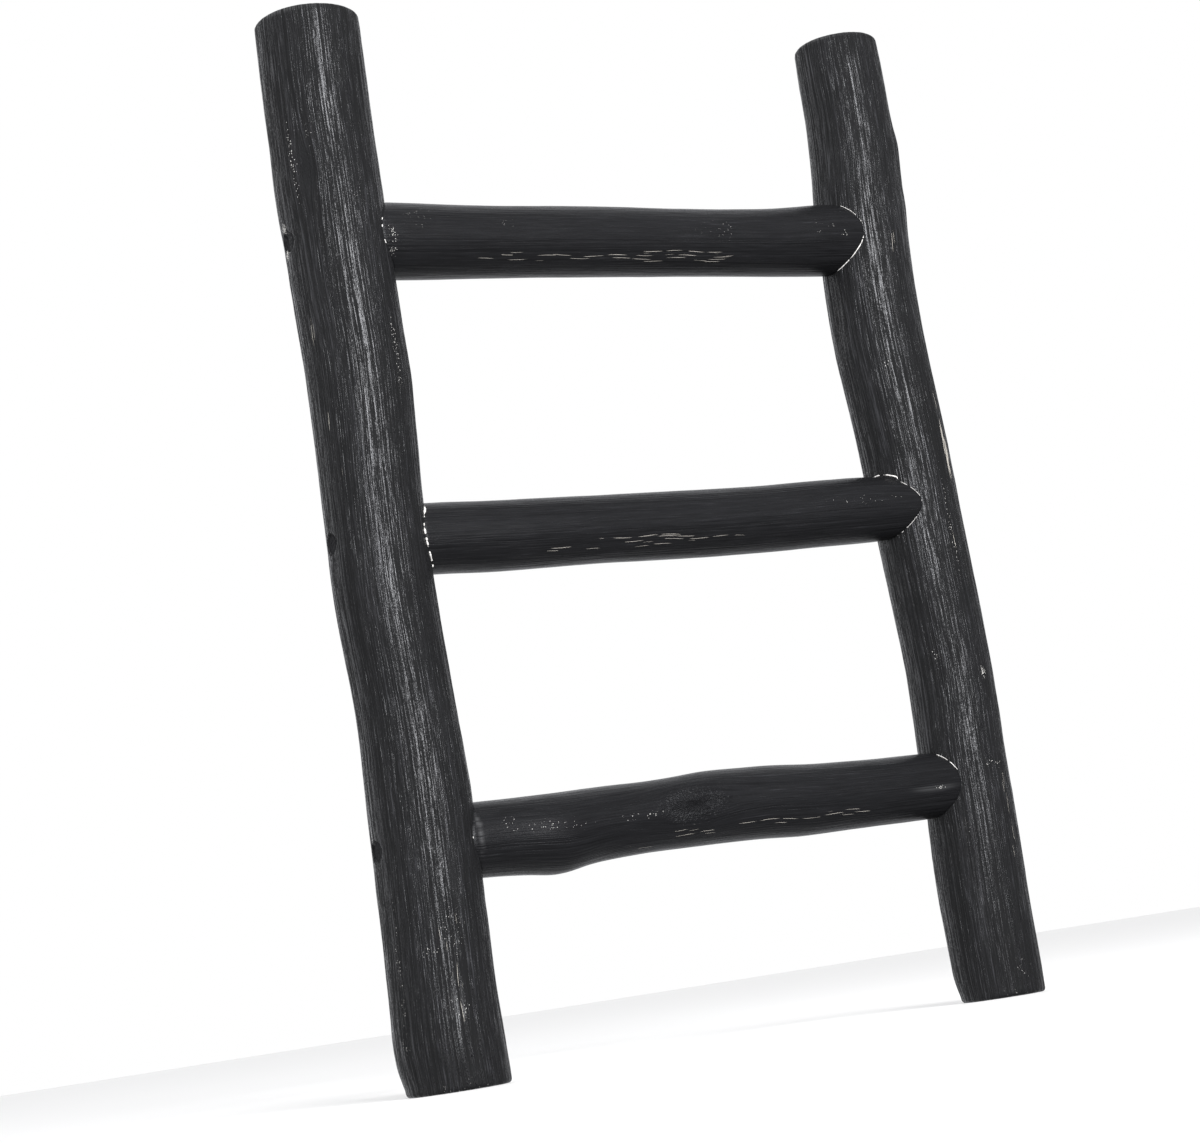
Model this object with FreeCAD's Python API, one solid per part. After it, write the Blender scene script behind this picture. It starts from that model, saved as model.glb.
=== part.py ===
import FreeCAD, Part
import math
import os

# A small towel ladder made of natural logs: two rails and three rungs.
# It is modelled standing on its sawn feet: X runs along the rungs, Y goes back
# towards the wall that it leans on, and Z goes up the rails. Lengths are in millimetres.

# Rails
LEFT_RAIL_LENGTH = 600.0
RIGHT_RAIL_LENGTH = 599.0
LEFT_RAIL_DIAMETER = 57.0
RIGHT_RAIL_DIAMETER = 53.0
RAIL_SPACING = 358.0  # between the rails' centre lines
FOOT_EASING = 2.0  # bevel of the sawn edge at a rail's foot
TOP_EASING = 1.5  # bevel of the sawn edge at a rail's top
SEAT_LENGTH = 48.0  # straight and round where a rung enters a rail
SEAT_BLEND = 30.0  # least length between a straight stretch and the next listed section

# Rungs
TOP_RUNG_HEIGHT = 470.0
MIDDLE_RUNG_HEIGHT = 298.0
BOTTOM_RUNG_HEIGHT = 130.0
TOP_RUNG_DIAMETER = 41.0
MIDDLE_RUNG_DIAMETER = 39.0
BOTTOM_RUNG_DIAMETER = 40.0
RUNG_SEAT_REACH = 10.0  # straight and round at a rung's end, past the rail's nominal side

# Round tenon on each rung's end, glued into a blind mortise in the rail
TENON_DIAMETER = 26.0
TENON_LENGTH = 31.0  # from the rail's inner side
MORTISE_CLEARANCE = 0.1  # all round the tenon
MORTISE_GLUE_GAP = 1.0  # past the tenon's end

# Coach screw that pulls each tenon home from a counterbore in the rail's outer side
SCREW_LENGTH = 40.0  # below its head
SCREW_DIAMETER = 5.0
SCREW_HEAD_WIDTH = 8.0  # across the flats of the hexagon
SCREW_HEAD_HEIGHT = 3.5
SCREW_CLEARANCE = 0.2  # all round the screw where it passes through the rail

# Flat wooden plug that closes the counterbore over the screw's head
PLUG_DIAMETER = 11.5
PLUG_LENGTH = 6.0
PLUG_RECESS = 1.0  # below the outermost line of the rail
PLUG_CLEARANCE = 0.15  # all round the plug

CUT_OVERRUN = 10.0  # how far a cut runs out past the surface that it opens

HEXAGON_SIDES = 6

X_AXIS = FreeCAD.Vector(1, 0, 0)
Y_AXIS = FreeCAD.Vector(0, 1, 0)
Z_AXIS = FreeCAD.Vector(0, 0, 1)

# A natural log is a skin through round sections, evenly spaced from a rail's foot to its
# top, or from the left end of a rung to its right end. Each log lists its sections' radii
# over the nominal one, and how far their centres wander off the straight line, over the
# nominal diameter: sideways is along X on a rail and along Z on a rung, back is along Y.
LEFT_RAIL_SHARES = {
    "radius_shares": [1.015, 1.01, 1.0, 1.0, 0.945, 0.955, 0.97, 0.98, 1.0, 1.015, 1.03, 1.035, 1.025],
    "sideways_shares": [
        -0.005, -0.02, 0.0, 0.035, 0.015, -0.03, -0.03, -0.01, 0.03, 0.015, -0.01, -0.015, 0.0,
    ],
    "back_shares": [0.0, 0.0, 0.005, 0.015, 0.005, -0.015, -0.02, -0.015, 0.0, 0.01, 0.005, 0.0, 0.0],
}
RIGHT_RAIL_SHARES = {
    "radius_shares": [0.97, 0.985, 1.0, 0.985, 0.975, 0.99, 1.005, 1.015, 1.05, 1.055, 1.045, 1.0, 0.97],
    "sideways_shares": [
        -0.015, -0.02, -0.025, 0.015, 0.035, 0.015, -0.01, -0.045, -0.095, -0.1, -0.04, 0.005, 0.0,
    ],
    "back_shares": [0.0, -0.005, -0.015, -0.02, -0.015, -0.005, 0.01, 0.02, 0.015, 0.0, -0.01, -0.005, 0.0],
}
TOP_RUNG_SHARES = {
    "radius_shares": [1.07, 1.065, 1.02, 1.0, 1.0, 0.995, 0.975, 0.97, 0.995, 1.075, 1.09],
    "sideways_shares": [0.005, 0.005, 0.0, 0.005, 0.01, 0.005, -0.01, -0.015, -0.015, 0.015, 0.015],
    "back_shares": [0.0, 0.0, 0.01, 0.015, 0.015, 0.005, -0.01, -0.025, -0.035, -0.04, -0.04],
}
MIDDLE_RUNG_SHARES = {
    "radius_shares": [1.0, 1.005, 1.015, 0.995, 0.98, 0.99, 0.99, 0.99, 1.005, 1.01, 1.01],
    "sideways_shares": [0.005, 0.005, -0.01, -0.005, 0.0, -0.005, -0.005, 0.005, 0.025, 0.035, 0.035],
    "back_shares": [0.0, -0.005, -0.01, -0.015, -0.015, -0.015, -0.02, -0.035, -0.06, -0.085, -0.085],
}
BOTTOM_RUNG_SHARES = {
    "radius_shares": [1.01, 1.015, 1.085, 1.01, 0.98, 1.02, 1.03, 1.0, 0.975, 0.97, 0.97],
    "sideways_shares": [0.0, 0.0, -0.03, 0.02, 0.04, 0.06, 0.055, 0.005, -0.005, -0.01, -0.01],
    "back_shares": [0.0, -0.005, -0.02, -0.01, 0.0, 0.0, -0.005, -0.015, -0.025, -0.033, -0.033],
}

# Each rail's foot on its centre line, length, diameter and form
RAILS = {
    "left": (X_AXIS * (-RAIL_SPACING / 2), LEFT_RAIL_LENGTH, LEFT_RAIL_DIAMETER, LEFT_RAIL_SHARES),
    "right": (X_AXIS * (RAIL_SPACING / 2), RIGHT_RAIL_LENGTH, RIGHT_RAIL_DIAMETER, RIGHT_RAIL_SHARES),
}

# Each rung's height, diameter and form
RUNGS = {
    "top": (TOP_RUNG_HEIGHT, TOP_RUNG_DIAMETER, TOP_RUNG_SHARES),
    "middle": (MIDDLE_RUNG_HEIGHT, MIDDLE_RUNG_DIAMETER, MIDDLE_RUNG_SHARES),
    "bottom": (BOTTOM_RUNG_HEIGHT, BOTTOM_RUNG_DIAMETER, BOTTOM_RUNG_SHARES),
}


def form_at(shares, place_share):
    """A log's radius, sideways and back shares at a place along it, between its listed sections."""
    steps = len(shares["radius_shares"]) - 1
    step = min(int(place_share * steps), steps - 1)
    onward = place_share * steps - step
    rows = (shares["radius_shares"], shares["sideways_shares"], shares["back_shares"])
    return [row[step] + (row[step + 1] - row[step]) * onward for row in rows]


def section_places(length, steps, seats):
    """Where a log's sections lie, each with the place whose form it takes, so that seats are straight."""
    places = []
    for step in range(steps + 1):
        place = length * step / steps
        if all(place < start - SEAT_BLEND or place > end + SEAT_BLEND for start, end in seats):
            places.append((place, place))
    for start, end in seats:
        middle = (start + end) / 2
        places += [(start, middle), (end, middle)]
    return sorted(places)


def log_solid(start, along, sideways, length, diameter, shares, seats, bevels):
    """A natural log: a skin through round sections that wander about a straight line.

    Seats are the stretches that are straight and round, and bevels say how much smaller the
    radius is at a place.
    """
    sections = []
    for place, form_place in section_places(length, len(shares["radius_shares"]) - 1, seats):
        radius_share, sideways_share, back_share = form_at(shares, form_place / length)
        centre = start + along * place
        centre += sideways * (diameter * sideways_share) + Y_AXIS * (diameter * back_share)
        circle = Part.Circle(centre, along, diameter / 2 * radius_share - bevels.get(place, 0))
        sections.append(Part.Wire(circle.toShape()))
    return Part.makeLoft(sections, True, True)


def rail_log(side):
    """A rail before any joint is cut in it, sawn square at both ends and bevelled there."""
    foot, length, diameter, shares = RAILS[side]
    seats = [(0, FOOT_EASING), (length - TOP_EASING, length)]
    for height, _, _ in RUNGS.values():
        seats.append((height - SEAT_LENGTH / 2, height + SEAT_LENGTH / 2))
    bevels = {0: FOOT_EASING, length: TOP_EASING}
    return log_solid(foot, Z_AXIS, X_AXIS, length, diameter, shares, seats, bevels)


def rung_log(name):
    """A rung before its ends are scribed, from one rail's centre line to the other's."""
    height, diameter, shares = RUNGS[name]
    start = RAILS["left"][0] + Z_AXIS * height
    left_seat = LEFT_RAIL_DIAMETER / 2 + RUNG_SEAT_REACH
    right_seat = RIGHT_RAIL_DIAMETER / 2 + RUNG_SEAT_REACH
    seats = [(0, left_seat), (RAIL_SPACING - right_seat, RAIL_SPACING)]
    return log_solid(start, X_AXIS, Z_AXIS, RAIL_SPACING, diameter, shares, seats, {})


def rail_joint(log, height):
    """Where a rung's line meets a rail: the outer point, the inner point and the way inwards."""
    line = Part.makeLine(FreeCAD.Vector(-RAIL_SPACING, 0, height), FreeCAD.Vector(RAIL_SPACING, 0, height))
    ends = [vertex.Point for vertex in line.common(log).Vertexes]
    inner = min(ends, key=lambda point: abs(point.x))
    outer = max(ends, key=lambda point: abs(point.x))
    return outer, inner, (inner - outer).normalize()


def tenon_solid(joint):
    """A rung's round tenon, which starts inside the rung."""
    _, inner, inwards = joint
    return Part.makeCylinder(
        TENON_DIAMETER / 2, TENON_LENGTH + CUT_OVERRUN, inner - inwards * TENON_LENGTH, inwards
    )


def mortise_cut(joint):
    """The blind round hole in the rail that takes the tenon, with room for glue at its end."""
    _, inner, inwards = joint
    depth = TENON_LENGTH + MORTISE_GLUE_GAP
    radius = TENON_DIAMETER / 2 + MORTISE_CLEARANCE
    return Part.makeCylinder(radius, depth + CUT_OVERRUN, inner - inwards * depth, inwards)


def counterbore_depth():
    """How deep the seat of the screw's head lies under the rail's outermost line."""
    return PLUG_RECESS + PLUG_LENGTH + SCREW_HEAD_HEIGHT


def counterbore_cut(joint):
    """The flat-bottomed hole in the rail's outer side that takes the screw's head and the plug."""
    outer, _, inwards = joint
    radius = PLUG_DIAMETER / 2 + PLUG_CLEARANCE
    start = outer - inwards * CUT_OVERRUN
    return Part.makeCylinder(radius, counterbore_depth() + CUT_OVERRUN, start, inwards)


def screw_shank(joint, clearance):
    """The screw below its head, which runs through the rail into the tenon."""
    outer, _, inwards = joint
    start = outer + inwards * counterbore_depth()
    return Part.makeCylinder(SCREW_DIAMETER / 2 + clearance, SCREW_LENGTH, start, inwards)


def screw_solid(joint):
    """A coach screw with a hexagon head."""
    outer, _, inwards = joint
    top = outer + inwards * (PLUG_RECESS + PLUG_LENGTH)
    corner_radius = SCREW_HEAD_WIDTH / 2 / math.cos(math.pi / HEXAGON_SIDES)
    corners = []
    for side in range(HEXAGON_SIDES + 1):
        turn = 2 * math.pi * side / HEXAGON_SIDES
        corners.append(top + (Y_AXIS * math.cos(turn) + Z_AXIS * math.sin(turn)) * corner_radius)
    head = Part.Face(Part.makePolygon(corners)).extrude(inwards * SCREW_HEAD_HEIGHT)
    return head.fuse(screw_shank(joint, 0))


def plug_solid(joint):
    """A flat plug that sits on the screw's head."""
    outer, _, inwards = joint
    return Part.makeCylinder(PLUG_DIAMETER / 2, PLUG_LENGTH, outer + inwards * PLUG_RECESS, inwards)


def rail_solid(log, joints):
    """A rail with its joints cut in it: mortises, screw holes and counterbores."""
    rail = log
    for joint in joints:
        rail = rail.cut(mortise_cut(joint))
        rail = rail.cut(counterbore_cut(joint))
        rail = rail.cut(screw_shank(joint, SCREW_CLEARANCE))
    return rail


def rung_solid(name, logs, joints):
    """A rung whose ends are scribed to the rails' round faces, with a tenon on each end."""
    rung = rung_log(name)
    for log in logs:
        rung = rung.cut(log)
    for joint in joints:
        rung = rung.fuse(tenon_solid(joint))
    for joint in joints:
        rung = rung.cut(screw_shank(joint, 0))
    return rung.removeSplitter()


def ladder_pieces():
    """Every piece of the ladder by name."""
    logs = {side: rail_log(side) for side in RAILS}
    joints = {}
    for side, log in logs.items():
        for name, (height, _, _) in RUNGS.items():
            joints[side, name] = rail_joint(log, height)
    pieces = {}
    for side, log in logs.items():
        pieces["rail_" + side] = rail_solid(log, [joints[side, name] for name in RUNGS])
    for name in RUNGS:
        pieces["rung_" + name] = rung_solid(name, logs.values(), [joints[side, name] for side in RAILS])
    for (side, name), joint in joints.items():
        pieces["screw_" + side + "_" + name] = screw_solid(joint)
        pieces["plug_" + side + "_" + name] = plug_solid(joint)
    return pieces


def centring_shift(pieces):
    """The move that centres the ladder's box over the origin."""
    box = FreeCAD.BoundBox()
    for shape in pieces.values():
        box.add(shape.optimalBoundingBox(False, False))
    return FreeCAD.Vector(-box.Center.x, -box.Center.y, 0)


os.makedirs("parts", exist_ok=True)
pieces = ladder_pieces()
shift = centring_shift(pieces)
print("centring shift", round(shift.x, 3), round(shift.y, 3))
for name, shape in pieces.items():
    shape.translate(shift)
    print(name, "valid" if shape.isValid() else "not valid", len(shape.Solids), "solid")
    shape.exportStep("parts/" + name + ".step")
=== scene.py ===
import math
from collections import namedtuple

import bpy
import numpy as np
from mathutils import Matrix, Vector
from mathutils.bvhtree import BVHTree


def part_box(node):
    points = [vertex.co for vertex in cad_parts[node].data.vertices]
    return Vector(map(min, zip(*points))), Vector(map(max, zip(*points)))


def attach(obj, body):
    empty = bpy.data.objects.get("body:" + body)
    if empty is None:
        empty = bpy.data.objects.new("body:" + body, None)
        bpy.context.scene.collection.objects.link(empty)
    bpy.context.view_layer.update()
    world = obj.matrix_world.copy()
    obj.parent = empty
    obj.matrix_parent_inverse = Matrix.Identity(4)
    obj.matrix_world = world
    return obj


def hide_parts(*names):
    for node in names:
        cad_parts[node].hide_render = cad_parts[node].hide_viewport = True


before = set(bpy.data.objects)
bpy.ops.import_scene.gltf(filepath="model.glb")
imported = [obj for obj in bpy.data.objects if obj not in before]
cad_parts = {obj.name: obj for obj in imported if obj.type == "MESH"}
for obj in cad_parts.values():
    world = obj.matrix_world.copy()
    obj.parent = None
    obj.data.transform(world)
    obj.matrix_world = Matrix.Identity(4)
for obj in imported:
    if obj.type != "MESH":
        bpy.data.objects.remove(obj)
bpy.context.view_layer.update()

# Looks of a small towel ladder made of natural logs: fine skins over the frame's rails and rungs,
# wooden plugs, glue lines at the seams, materials, light and the camera. Lengths are in metres.
MM = 0.001
DEGREE = math.pi / 180
FULL_TURN = 2 * math.pi
UP = np.array([0.0, 0.0, 1.0])
RIGHT = np.array([1.0, 0.0, 0.0])
BACK = np.array([0.0, 1.0, 0.0])
FRONT = -90 * DEGREE  # the front side of a rail or a rung, as an angle round it

# Camera, from the photograph: it stands low, left of the ladder's front, tilted and rolled
CAMERA_PLACE = (-742.9 * MM, -1277.1 * MM, 37.3 * MM)
CAMERA_TURN = 28.66 * DEGREE  # to the right of straight back
CAMERA_TILT = 9.21 * DEGREE  # upwards
CAMERA_ROLL = -8.91 * DEGREE
CAMERA_LENS_MM = 77.59
CAMERA_SENSOR_MM = 36.0
CAMERA_CLIP = 50 * MM

# Measuring the frame's logs
MEASURE_STEP = 4 * MM
MEASURE_RAYS = 24
MEASURE_REACH = 80 * MM
FIT_ROUNDS = 5
FIT_KEPT_SHARE = 0.6  # of the rays, so that those that go down a hole are left out
FULL_SECTION_SHARE = 0.85  # of the usual radius; thinner sections are a tenon's or a bevel's
SMOOTHING = 10 * MM  # evens out the creases between the frame's straight stretches
SMOOTHING_REACH = 3  # times the smoothing length, to each side

# Skins
RAIL_POINTS_AROUND = 240
RUNG_POINTS_AROUND = 180
RING_STEP = 2 * MM
FINE_RING_STEP = 0.6 * MM
FINE_REACH = 8 * MM  # each side of a plug
FOOT_EASING = 2.2 * MM
TOP_EASING = 2.4 * MM
EASING_RINGS = 6
CAP_RINGS = 14
CAP_RELIEF = 0.35 * MM
CAP_CELLS = (9, 23)  # out from the middle and round it
SEAM_STEPS = np.array([-1.0, 0.0, 0.3, 0.7, 1.1, 1.6]) * MM  # a rung's first rings, from the seam
SEAM_EASING = 0.35 * MM  # the rung is this much thinner where it meets the rail
SEAM_EASING_LENGTH = 1.6 * MM
SEAM_SEARCH_SHARE = 0.67  # of a rung's half length, where the search for the seam starts
SEAT_SHARE = 0.85  # of a rung's half length, where its end's section is taken
TENON_RADIUS = 13 * MM
SHOULDER_BURY = 4 * MM  # how far inside the rail the rung narrows to its tenon

# Relief on a log's skin: cells along it, cells round it, height
RAIL_RELIEF = [(9, 5, 0.35 * MM), (26, 9, 0.12 * MM), (30, 70, 0.07 * MM), (75, 118, 0.09 * MM)]
RUNG_RELIEF = [(6, 4, 0.3 * MM), (16, 8, 0.1 * MM), (18, 60, 0.05 * MM), (40, 88, 0.05 * MM)]
GRAIN_BEND = 0.75  # how far the grain swings round a knot

# Plugs and their pockets
POCKET_RADIUS = 6.0 * MM
POCKET_EDGE = 0.35 * MM
POCKET_DEPTH = 1.5 * MM
PLUG_POINTS_AROUND = 64
PLUG_FACE_RINGS = 12
PLUG_INNER_SHARE = 0.5  # of its radius, at the first ring of its inner end
PLUG_EASING = 0.5 * MM
PLUG_RELIEF = 0.3 * MM
PLUG_CELLS = (7, 19)  # out from the middle and round it

# Glue at the seams
GLUE_POINTS = 420
GLUE_SIDES = 7
GLUE_LEAST_RADIUS = 0.05 * MM
GLUE_SINK = 0.8 * MM  # where there is no glue, its line lies this far under the skins
GLUE_FADE = 5 * DEGREE  # at the end of a stretch
GLUE_BREAK_CELLS = 64
GLUE_LUMP_CELLS = 170
GLUE_LUMP_SHARE = 0.35
GLUE_BREAK_SHARPNESS = 4

# Light and floor
WHITE = (1, 1, 1, 1)
LIGHT_COLOUR = (0.955, 0.965, 1.0, 1)
WORLD_LIGHT_DARK = 0.09
WORLD_LIGHT_BRIGHT = 1.5
WORLD_BRIGHT_SIDE = (-0.45, 0.85, 0.25)
FLOOR_COLOUR = (0.57, 0.563, 0.543, 1)
FLOOR_ROUGHNESS = 0.7
FLOOR_REACH = 15.0
FLOOR_GLOW = 0.3
PANEL_PLACE = (-0.15, -2.4, 0.87)
PANEL_TARGET = (0, 0, 0.3)
PANEL_WIDTH = 1.1
PANEL_HEIGHT = 1.4
PANEL_POWER = 149

# Grain of the wood, in cells per metre across, across and along the log
STRAND_GRAIN = (420, 420, 12)
FIBRE_GRAIN = (1050, 1050, 10)
FINE_GRAIN = (1500, 1500, 70)
GRANULE_GRAIN = (1700, 1700, 900)
BROAD_GRAIN = (42, 42, 7)
PATCH_GRAIN = (60, 60, 14)
SCRATCH_GRAIN = (640, 60, 1)  # round the log and along it
SCRATCH_SWAY = 0.5 * MM  # how far a scratch strays round the log
SCRATCH_SWAY_LENGTH = 7 * MM  # along the log, for one radian of the sway's wave
SPECK_GRAIN = (1500, 1500, 1200)
WRINKLE_GRAIN = (14, 14, 5)  # round a knot and outwards, per half size of the knot
NOISE_DETAIL = 2.0
NOISE_ROUGHNESS = 0.58
RIDGE_STOPS = [(0.42, 0.0), (0.52, 0.8), (0.60, 1.0)]  # height by grain value; rubs show on the ridges
PATCH_START = 0.46  # the grain value where a patch of pale specks starts
PATCH_FULL = 0.66
GRAIN_BUMP = 1.0

# Shares of the grains in what they make
THREAD_SHARES = (0.15, 0.85)  # strands and fibres
TONE_SHARES = (0.45, 0.4, 0.15)  # threads, fine and broad grain
GLOSS_SHARES = (0.36, 0.36, 0.28)  # fibres, fine grain and granules
HEIGHT_SHARES = (0.7, 0.7, 0.4)  # ridges, fine grain and granules

# Marks in the stain and painted highlights: spots in the cells of a grain, with sizes as shares of a
# cell, and colours
SPOT_RADIUS = 0.33
CHIP_THINNESS = (1, 1, 1)  # a spot's radius is divided by this, in each direction
SCRATCH_THINNESS = (6.6, 0.8, 1)
SPOT_GROWTH = 3  # how soon a spot gets its full size, as the amount goes over the cell's own chance
SPOT_SHARPNESS = 14
SPOT_STRENGTH = 0.9
SCRATCH_COLOUR = (0.60, 0.56, 0.49)
CHIP_AND_HIGHLIGHT_COLOUR = (0.62, 0.60, 0.56)
RUB_AND_HIGHLIGHT_COLOUR = (0.085, 0.085, 0.085)
KNOT_COLOUR = (0.006, 0.006, 0.0065)
BURST_MIDDLE = 0.4  # keeps the wrinkles' direction finite in a knot's middle
FIELD_SHARPNESS = 2  # how sharply a mark or a knot ends

# Sawn ends
END_RINGS = {"Scale": 140, "Distortion": 2.0, "Detail": 2.0}
END_RINGS_KIND = {"wave_type": "RINGS", "rings_direction": "Z"}
END_TONES = [(0.2, 0.005), (0.9, 0.02)]
CUT_DULLNESS = 0.4

# Finishes of the logs: grey tones and roughness by grain value, gloss, heights of the grain and of
# the wrinkles on a knot, how dull and how dark a knot is, and how many pale specks lie about
STAIN_TINT = (1.0, 1.0, 1.07)
RAIL_FINISH = {
    "tones": [(0.40, 0.0015), (0.48, 0.003), (0.55, 0.006), (0.65, 0.035)],
    "roughness": [(0.495, 0.80), (0.55, 0.20)],
    "gloss": 0.22,
    "grain_height": 0.24 * MM,
    "wrinkles": 3.5,
    "knot_dullness": 0.1,
    "knot_darkness": 0.9,
    "specks": 0.06,
}
RUNG_FINISH = {
    "tones": [(0.38, 0.0055), (0.50, 0.0085), (0.60, 0.0115), (0.70, 0.03)],
    "roughness": [(0.3, 0.4), (0.5, 0.3), (0.7, 0.24)],
    "gloss": 0.1,
    "grain_height": 0.15 * MM,
    "wrinkles": 9,
    "knot_dullness": -0.03,
    "knot_darkness": 0.1,
    "specks": 0.03,
}

# Finishes of the small parts: two tones by speck value, what is the same all over, specks per metre
PLUG_TONES = [(0.38, (0.006, 0.006, 0.007)), (0.66, (0.011, 0.011, 0.0115))]
PLUG_SURFACE = {"Roughness": 0.7, "Specular IOR Level": 0.08}
PLUG_SPECKS = 1500
ZINC_TONES = [(0.38, (0.42, 0.42, 0.43)), (0.66, (0.62, 0.62, 0.63))]
ZINC_SURFACE = {"Roughness": 0.35, "Metallic": 1.0}
ZINC_SPECKS = 900
GLUE_TONES = [(0.38, (0.45, 0.43, 0.40)), (0.66, (0.82, 0.80, 0.76))]
GLUE_SURFACE = {"Roughness": 0.5}
GLUE_SPECKS = 1100
SPECK_DETAIL = 3
SPECK_BUMP = 0.5
SPECK_HEIGHT = 0.2 * MM

# Bends and swellings of the real logs between the frame's sections: place and reach as shares of
# the log's length, then how far it goes sideways (X on a rail, Z on a rung) and outwards, in mm
Bend = namedtuple("Bend", "place reach sideways swell")
BENDS = {
    "rail_left": [
        Bend(0.04, 0.022, -0.7, 0.9),
        Bend(0.18, 0.025, -0.5, 0.1),
        Bend(0.31, 0.05, 0.6, 0.2),
        Bend(0.435, 0.04, -0.8, 0.3),
        Bend(0.60, 0.045, 0.7, 0.0),
        Bend(0.98, 0.05, 0.6, 0.2),
    ],
    "rail_right": [
        Bend(0.03, 0.03, 0.0, 0.4),
        Bend(0.295, 0.035, 0.7, 0.0),
        Bend(0.415, 0.05, 0.9, 0.0),
        Bend(0.73, 0.035, -1.3, 0.0),
        Bend(0.865, 0.025, 1.0, 0.0),
        Bend(0.97, 0.03, -0.3, 0.3),
    ],
    "rung_top": [
        Bend(0.40, 0.16, 0.0, 0.45),
        Bend(0.74, 0.10, -0.3, 0.3),
    ],
    "rung_middle": [
        Bend(0.12, 0.06, 0.2, 0.2),
        Bend(0.50, 0.50, -0.35, 0.38),
    ],
    "rung_bottom": [
        Bend(0.10, 0.05, 0.2, 0.2),
        Bend(0.222, 0.028, -0.9, 0.9),
        Bend(0.49, 0.035, 0.3, 0.3),
        Bend(0.65, 0.04, -0.4, 0.4),
        Bend(0.50, 0.50, -0.15, 0.2),
    ],
}

# Marks on a log: place as a share of its length, angle round it in degrees, half length along it
# and half width in mm, and an amount. On a rail, angles start at +X and go by the back; on a rung,
# they start at the top and go by the back. The amount of a swelling or a knot is its rise in mm.
Mark = namedtuple("Mark", "place angle half_length half_width amount")
SWELLINGS = {
    "rail_left": [
        Mark(0.832, 155, 18, 15, 1.6),
        Mark(0.65, 155, 36, 15, 1.2),
        Mark(0.642, -30, 9, 10, 0.5),
        Mark(0.846, -116, 13, 5, 0.8),
        Mark(0.0, 151, 7, 14, -2.2),
    ],
    "rail_right": [
        Mark(0.13, 152, 26, 15, 1.3),
        Mark(0.535, 155, 12, 15, 0.9),
        Mark(0.68, 155, 36, 15, 0.8),
        Mark(0.815, -28, 10, 11, 1.3),
        Mark(0.887, -28, 8, 11, 0.8),
        Mark(0.0, 151, 7, 14, -2.4),
    ],
    "rung_top": [],
    "rung_middle": [],
    "rung_bottom": [],
}
KNOTS = {
    "rail_left": [
        Mark(0.846, -138, 13, 4.8, -1.8),
        Mark(0.335, 60, 12, 8, 1.0),
    ],
    "rail_right": [
        Mark(0.865, -20, 16, 9, 0.8),
        Mark(0.40, 110, 12, 8, 1.0),
    ],
    "rung_top": [Mark(0.30, 80, 10, 6, 0.6)],
    "rung_middle": [Mark(0.62, 100, 10, 6, 0.6)],
    "rung_bottom": [
        Mark(0.441, -83, 19, 9.5, -0.3),
        Mark(0.72, 70, 10, 7, 0.6),
    ],
}

# Where the stain is scratched through in fine lines
SCRATCHES = {
    "rail_left": [
        Mark(0.132, -109, 7, 1.4, 0.8),
        Mark(0.118, -105, 7, 1.4, 0.8),
        Mark(0.104, -102, 7, 1.4, 0.8),
        Mark(0.095, -94, 20, 1.6, 0.9),
        Mark(0.150, -94, 8, 4, 0.2),
        Mark(0.69, -161, 16, 1.2, 0.7),
        Mark(0.608, -156, 5, 1.0, 0.8),
        Mark(0.55, -144, 14, 1.2, 0.4),
        Mark(0.45, 30, 50, 3, 0.4),
        Mark(0.70, 100, 40, 3, 0.4),
    ],
    "rail_right": [
        Mark(0.55, -60, 15, 1.5, 5),
        Mark(0.60, -58, 16, 1.2, 0.8),
        Mark(0.47, -82, 32, 1.3, 0.7),
        Mark(0.764, -85, 12, 1.2, 0.8),
        Mark(0.17, -69, 26, 1.5, 1.0),
        Mark(0.60, 110, 50, 3, 0.4),
    ],
    "rung_top": [
        Mark(0.57, -133, 46, 4.0, 0.85),
        Mark(0.40, -131, 38, 2.8, 0.9),
        Mark(0.27, -132, 24, 2.0, 0.7),
        Mark(0.40, 120, 40, 3, 0.3),
    ],
    "rung_middle": [
        Mark(0.47, -125, 42, 3.4, 0.85),
        Mark(0.34, -127, 28, 2.6, 0.65),
        Mark(0.36, -138, 14, 1.0, 0.6),
        Mark(0.45, 100, 40, 3, 0.3),
    ],
    "rung_bottom": [
        Mark(0.43, -129, 17, 3.4, 0.85),
        Mark(0.58, -127, 28, 2.6, 0.7),
        Mark(0.70, -122, 28, 2.2, 0.85),
        Mark(0.36, -146, 14, 1.6, 0.7),
        Mark(0.55, 110, 40, 3, 0.4),
    ],
}
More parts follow.
